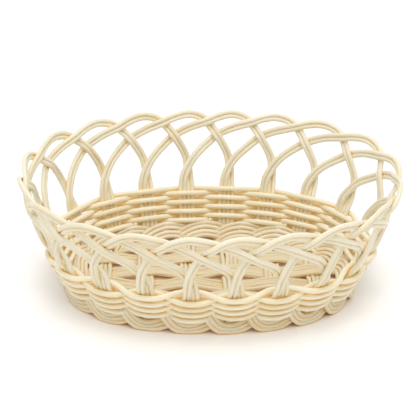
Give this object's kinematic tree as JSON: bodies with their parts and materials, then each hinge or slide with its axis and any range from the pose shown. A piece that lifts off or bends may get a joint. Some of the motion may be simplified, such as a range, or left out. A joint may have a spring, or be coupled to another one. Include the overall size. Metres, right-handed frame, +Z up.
{
  "type": "bread basket",
  "caption": "Oval woven bread basket with an open scalloped rim of paired cane arches, a woven side, a looped foot and a plaited floor.",
  "frame": {"origin": "on the table under the middle of the basket", "axes": "+Z up, +X along the basket's length, +Y across it"},
  "size_m": [0.2522, 0.1912, 0.0848],
  "materials": {
    "rim_cane": "smooth satin",
    "weaver_cane": "smooth satin",
    "foot_cane": "smooth satin",
    "floor_cane": "smooth satin"
  },
  "bodies": {
    "root": {"rim_arch_01": "rim_cane", "rim_arch_02": "rim_cane", "rim_arch_03": "rim_cane", "rim_arch_04": "rim_cane", "rim_arch_05": "rim_cane", "rim_arch_06": "rim_cane", "rim_arch_07": "rim_cane", "rim_arch_08": "rim_cane", "rim_arch_09": "rim_cane", "rim_arch_10": "rim_cane", "rim_arch_11": "rim_cane", "rim_arch_12": "rim_cane", "rim_arch_13": "rim_cane", "rim_arch_14": "rim_cane", "rim_arch_15": "rim_cane", "rim_arch_16": "rim_cane", "rim_arch_17": "rim_cane", "rim_arch_18": "rim_cane", "rim_arch_19": "rim_cane", "rim_arch_20": "rim_cane", "weaver_row_01": "weaver_cane", "weaver_row_02": "weaver_cane", "weaver_row_03": "weaver_cane", "weaver_row_04": "weaver_cane", "weaver_row_05": "weaver_cane", "weaver_row_06": "weaver_cane", "weaver_row_07": "weaver_cane", "weaver_row_08": "weaver_cane", "foot_loop_01": "foot_cane", "foot_loop_02": "foot_cane", "foot_loop_03": "foot_cane", "foot_loop_04": "foot_cane", "foot_loop_05": "foot_cane", "foot_loop_06": "foot_cane", "foot_loop_07": "foot_cane", "foot_loop_08": "foot_cane", "foot_loop_09": "foot_cane", "foot_loop_10": "foot_cane", "foot_loop_11": "foot_cane", "foot_loop_12": "foot_cane", "foot_loop_13": "foot_cane", "foot_loop_14": "foot_cane", "foot_loop_15": "foot_cane", "foot_loop_16": "foot_cane", "foot_loop_17": "foot_cane", "foot_loop_18": "foot_cane", "foot_loop_19": "foot_cane", "foot_loop_20": "foot_cane", "floor_long_01": "floor_cane", "floor_long_02": "floor_cane", "floor_long_03": "floor_cane", "floor_long_04": "floor_cane", "floor_long_05": "floor_cane", "floor_long_06": "floor_cane", "floor_cross_01": "floor_cane", "floor_cross_02": "floor_cane", "floor_cross_03": "floor_cane", "floor_cross_04": "floor_cane", "floor_cross_05": "floor_cane", "floor_cross_06": "floor_cane"}
  },
  "joints": []
}
